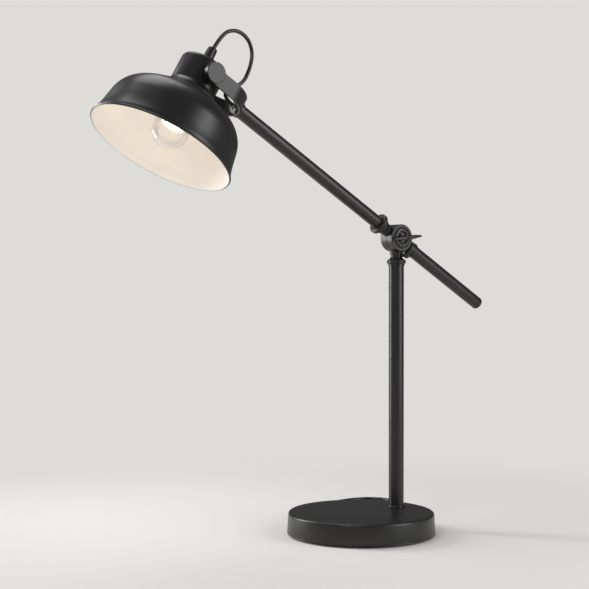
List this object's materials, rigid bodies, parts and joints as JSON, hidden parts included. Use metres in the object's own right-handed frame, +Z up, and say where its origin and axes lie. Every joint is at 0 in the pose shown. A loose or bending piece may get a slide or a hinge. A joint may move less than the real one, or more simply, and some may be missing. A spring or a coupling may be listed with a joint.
{
  "type": "desk lamp",
  "caption": "Desk lamp with a domed shade in a yoke, on one long arm that tilts and swivels on a pole with a weighted round base.",
  "frame": {"origin": "centre of the base's underside, on the surface that it stands on", "axes": "+Z up, the head points to -X, the arm lies in the XZ plane and the clamp handle faces -Y"},
  "size_m": [0.5617, 0.2848, 0.6026],
  "materials": {
    "black_paint": "satin black powder coat, cream-white enamel inside the shade",
    "iron": "raw casting",
    "plated_steel": "zinc plated",
    "brass": "machined",
    "pad": "matt",
    "soft_black": "semi-gloss soft PVC",
    "flex": "glossy PVC sheath",
    "plug_black": "moulded plastic",
    "fibre": "fibre washer",
    "phenolic": "moulded thermoset",
    "glass": "clear",
    "stem_glass": "clear",
    "lit_filament": "lit"
  },
  "bodies": {
    "base": {"base_shell": "black_paint", "base_weight": "iron", "base_plate": "plated_steel", "base_screws": "plated_steel", "base_pad": "pad", "pole": "black_paint", "pole_foot_ring": "black_paint", "pole_stud": "plated_steel", "pole_washer": "plated_steel", "pole_nut": "plated_steel", "swivel_post": "brass", "pole_wire": "flex", "cord_relief": "soft_black", "mains_cord": "flex", "mains_cord_coil": "flex", "mains_cord_tail": "flex", "plug_body": "plug_black", "plug_pins": "brass"},
    "knuckle": {"knuckle_neck": "black_paint", "clamp_seat_ring": "black_paint"},
    "lock_screw": {"swivel_lock_screw": "black_paint"},
    "clamp": {"clamp_bolt": "black_paint", "clamp_handle": "black_paint"},
    "arm": {"arm_hub": "black_paint", "friction_washer": "fibre", "clamp_nut": "plated_steel", "arm_tube_front": "black_paint", "arm_tube_rear": "black_paint", "rear_plug": "black_paint", "counterweight_slug": "plated_steel", "arm_end_nipple": "plated_steel", "arm_end_collar": "black_paint", "arm_wire": "flex", "yoke": "black_paint", "nipple_saddle": "plated_steel", "nipple_nut": "plated_steel"},
    "shade": {"shade": "black_paint", "neck_cup": "black_paint", "neck_ring": "black_paint", "pivot_screw_near": "black_paint", "pivot_screw_far": "black_paint", "pivot_spacers": "black_paint", "holder_body": "phenolic", "holder_cap": "phenolic", "holder_nipple": "plated_steel", "holder_nut": "plated_steel", "shade_ring": "phenolic", "centre_contact": "brass", "bulb_glass": "glass", "bulb_cap": "plated_steel", "bulb_stem": "stem_glass", "bulb_filament": "lit_filament", "head_gland": "plug_black", "shade_cable": "flex"}
  },
  "joints": [
    {"name": "neck_swivel", "type": "hinge", "parent": "base", "child": "knuckle", "pos_m": [0.057, 0, 0.3345], "axis": [0, 0, 1], "range_deg": [-170, 170]},
    {"name": "arm_tilt", "type": "hinge", "parent": "knuckle", "child": "arm", "pos_m": [0.057, 0, 0.367], "axis": [0, 1, 0], "range_deg": [-66, 9]},
    {"name": "shade_tilt", "type": "hinge", "parent": "arm", "child": "shade", "pos_m": [-0.23676, 0, 0.54212], "axis": [0, 1, 0], "range_deg": [-14, 60], "deforming": ["shade_cable"]},
    {"name": "clamp_turn", "type": "hinge", "parent": "knuckle", "child": "clamp", "pos_m": [0.057, -0.02, 0.367], "axis": [0, -1, 0], "range_deg": [0, 180]},
    {"name": "lock_screw_turn", "type": "hinge", "parent": "knuckle", "child": "lock_screw", "pos_m": [0.057, 0, 0.345], "axis": [0.342, -0.9397, 0], "range_deg": [0, 180]}
  ]
}
